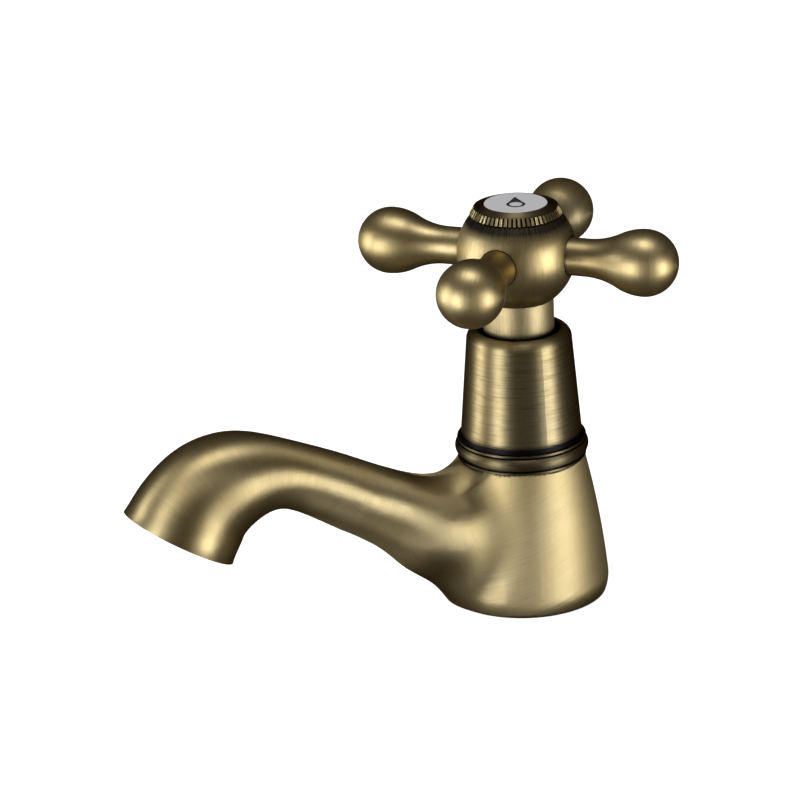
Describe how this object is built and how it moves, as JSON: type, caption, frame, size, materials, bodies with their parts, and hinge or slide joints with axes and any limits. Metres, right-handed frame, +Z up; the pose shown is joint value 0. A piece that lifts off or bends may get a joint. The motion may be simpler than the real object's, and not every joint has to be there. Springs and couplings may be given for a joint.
{
  "type": "cross handle tap",
  "caption": "Deck-mounted pillar tap with a cross handle on a bell shroud, a quarter-turn ceramic valve, a tapering arched spout and a threaded tail below its flared base.",
  "frame": {"origin": "on the tap's vertical axis, in the plane of the base's underside, which is the deck's top", "axes": "+Z up along the tail, base and handle; the spout reaches out along -Y; X across the tap"},
  "size_m": [0.0686, 0.1483, 0.1607],
  "materials": {
    "aged_brass": "brushed antique brass with a dark patina in the grooves",
    "turned_brass": "plain turned brass",
    "glazed_ceramic": "glossy white glaze",
    "alumina": "lapped alumina ceramic",
    "rubber": "matt black rubber",
    "steel": "stainless steel",
    "acetal": "natural acetal"
  },
  "bodies": {
    "tap": {"tap_body": "aged_brass", "collar_ring": "aged_brass", "shroud": "aged_brass", "aerator_shell": "turned_brass", "cartridge_housing": "turned_brass", "housing_o_ring": "rubber", "seat_seal": "rubber", "fixed_ceramic_disc": "alumina", "aerator_mesh": "steel", "aerator_washer": "rubber", "inlet_tail": "turned_brass", "tail_seal": "rubber", "base_gasket": "rubber", "deck_washer": "rubber", "backnut_washer": "turned_brass", "backnut": "turned_brass"},
    "handle": {"moving_ceramic_disc": "alumina", "cartridge_spindle": "turned_brass", "spindle_o_rings": "rubber", "thrust_washer": "acetal", "spindle_circlip": "steel", "handle_hub": "aged_brass", "index_cap": "aged_brass", "index_disc": "glazed_ceramic", "handle_screw": "steel", "screw_lock_washer": "steel", "handle_arm_front_left": "aged_brass", "handle_arm_front_right": "aged_brass", "handle_arm_rear_left": "aged_brass", "handle_arm_rear_right": "aged_brass"}
  },
  "joints": [
    {"name": "handle_turn", "type": "hinge", "parent": "tap", "child": "handle", "pos_m": [0, 0, 0.06], "axis": [0, 0, 1], "range_deg": [0, 90]}
  ]
}
